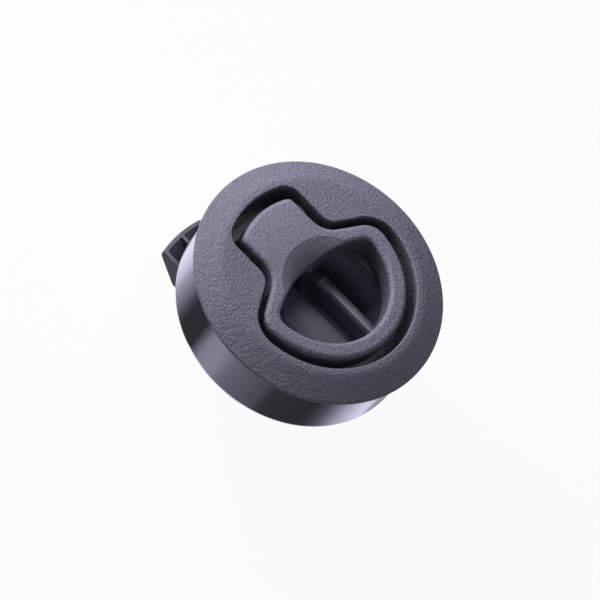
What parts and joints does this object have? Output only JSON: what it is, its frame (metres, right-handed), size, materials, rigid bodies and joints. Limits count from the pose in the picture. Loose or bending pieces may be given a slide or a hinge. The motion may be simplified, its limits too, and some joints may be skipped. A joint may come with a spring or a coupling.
{
  "type": "flush pull latch",
  "caption": "Round flush pull latch: keyhole handle with a finger opening in a recessed flange, sprung slam pawl behind, and a polished clamp cup.",
  "frame": {"origin": "centre of the barrel in the plane of the flange's underside, which seats on the panel's front", "axes": "+Z out of the panel's front, -X from the centre to the handle's neck and the pawl, Y along the handle's pivot pin"},
  "size_m": [0.0638, 0.062, 0.0404],
  "materials": {
    "housing_plastic": "fine spark-eroded grain",
    "handle_plastic": "fine spark-eroded grain",
    "pawl_plastic": "smooth moulded",
    "cover_plastic": "smooth moulded",
    "polished_steel": "polished",
    "screw_steel": "zinc plated",
    "spring_steel": "drawn wire",
    "insert_brass": "turned"
  },
  "bodies": {
    "body": {"housing": "housing_plastic", "pivot_pin": "spring_steel", "handle_spring": "spring_steel", "pawl_spring": "spring_steel", "spring_rod": "spring_steel", "back_cover": "cover_plastic", "cover_screws": "screw_steel", "clamp_cup": "polished_steel", "clamp_screws": "screw_steel", "clamp_washers": "screw_steel", "threaded_inserts": "insert_brass"},
    "handle": {"handle": "handle_plastic"},
    "pawl": {"pawl": "pawl_plastic"}
  },
  "joints": [
    {"name": "handle_pull", "type": "hinge", "parent": "body", "child": "handle", "pos_m": [-0.0155, 0, -0.0028], "axis": [0, -1, 0], "range_deg": [0, 30], "stiffness_Nm_per_rad": 0.2, "springref_deg": -28.65, "deforming": ["handle_spring"]},
    {"name": "pawl_slide", "type": "slide", "parent": "body", "child": "pawl", "axis": [1, 0, 0], "range_m": [0, 0.0088], "deforming": ["pawl_spring"]}
  ],
  "couplings": [
    {"joint": "pawl_slide", "follows": "handle_pull", "m_per_rad": 0.016807}
  ]
}
